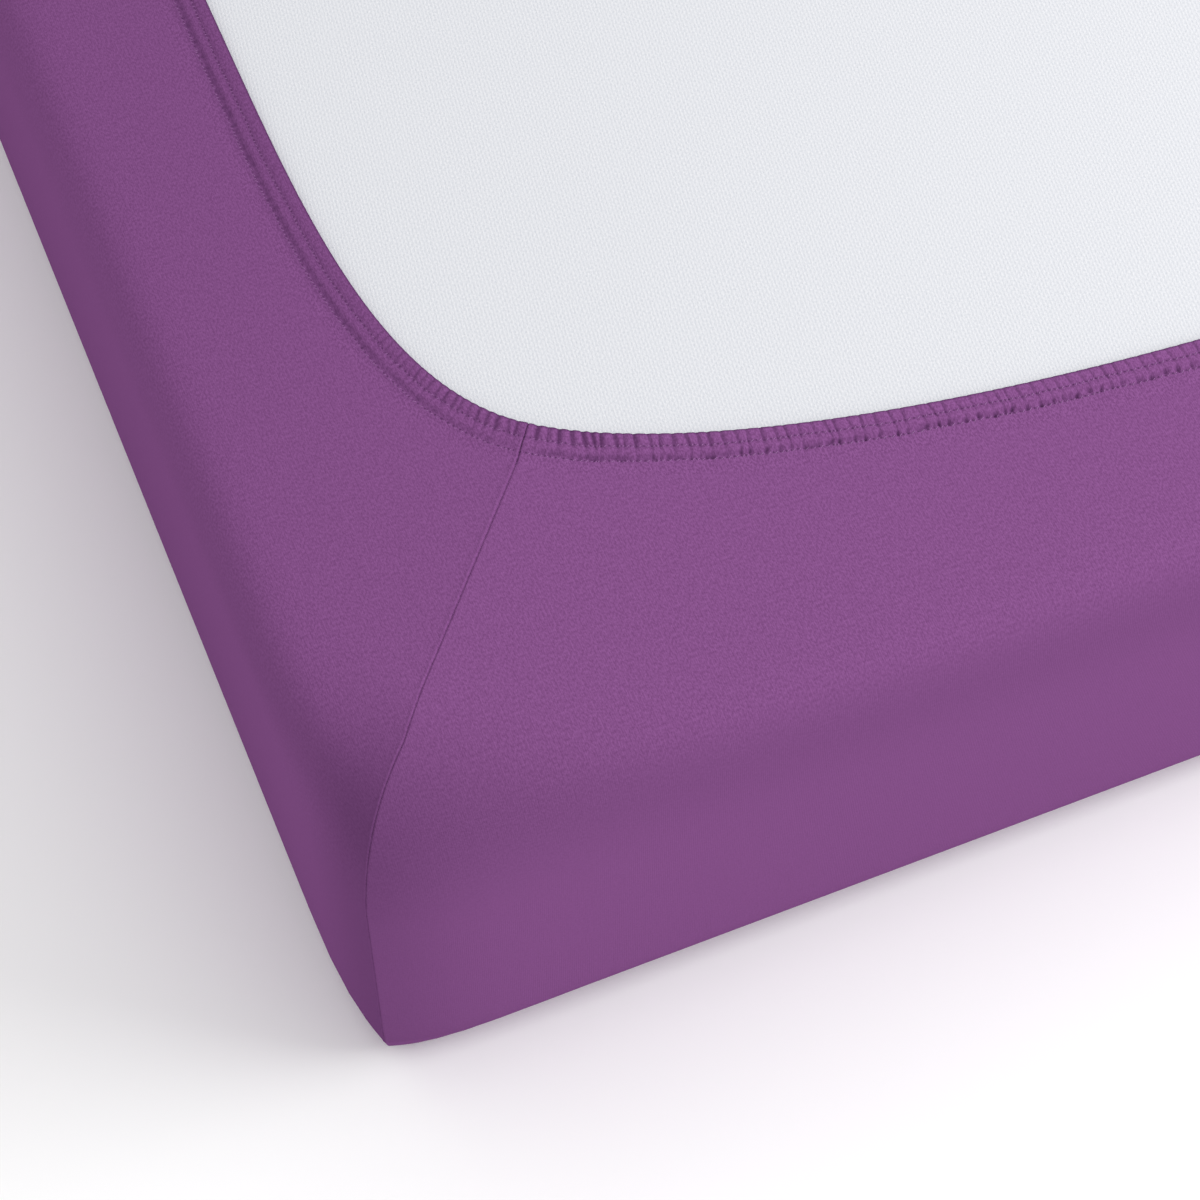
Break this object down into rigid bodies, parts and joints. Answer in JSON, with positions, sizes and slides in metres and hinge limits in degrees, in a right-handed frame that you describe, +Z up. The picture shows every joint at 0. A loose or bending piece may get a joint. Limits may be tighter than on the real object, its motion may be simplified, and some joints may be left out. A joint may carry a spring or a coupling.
{
  "type": "fitted sheet on mattress",
  "caption": "Stretch jersey fitted sheet with seamed corners and a gathered elastic hem, pulled over a plain foam mattress that lies underside up.",
  "frame": {"origin": "centre of the sleeping-side panel, on the ground that the part lies on", "axes": "+Y along the mattress's length, +X across its width, +Z up, from the sleeping side to the underside that faces up"},
  "size_m": [1.404, 2.004, 0.2058],
  "materials": {
    "purple_jersey": "fine matte cotton jersey, piece dyed purple",
    "white_ticking": "cool white mattress ticking with a fine diagonal figure"
  },
  "bodies": {
    "root": {"fitted_sheet": "purple_jersey", "mattress": "white_ticking"}
  },
  "joints": []
}
